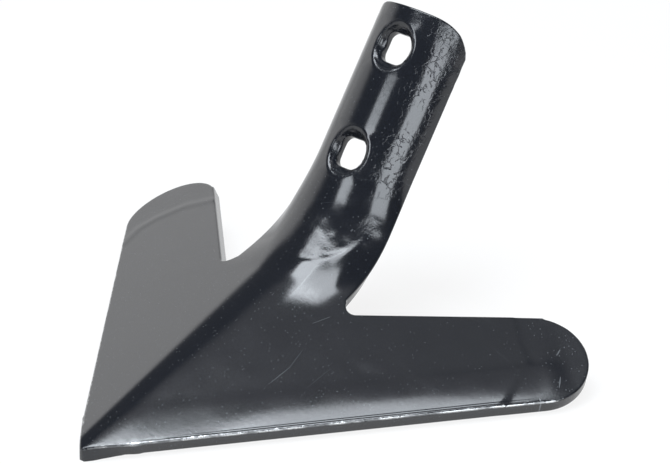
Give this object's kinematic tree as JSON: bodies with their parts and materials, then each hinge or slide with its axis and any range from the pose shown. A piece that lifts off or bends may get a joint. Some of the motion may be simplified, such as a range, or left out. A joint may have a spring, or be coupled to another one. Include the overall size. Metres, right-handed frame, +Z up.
{
  "type": "duckfoot cultivator share",
  "caption": "Pressed steel duckfoot share: two swept, gently sloping wings folded along a ridge that bends up into a channel-shaped stem with countersunk holes for plough bolts.",
  "frame": {"origin": "middle of the base of the bounding box; the share stands on its two cutting edges", "axes": "+X across the wings, -Y the way the nose points, +Z up"},
  "size_m": [0.2568, 0.2204, 0.1356],
  "materials": {
    "paint": "gloss black paint, thin and slightly wavy, worn bright along the cutting edge"
  },
  "bodies": {
    "root": {"duckfoot_share": "paint"}
  },
  "joints": []
}
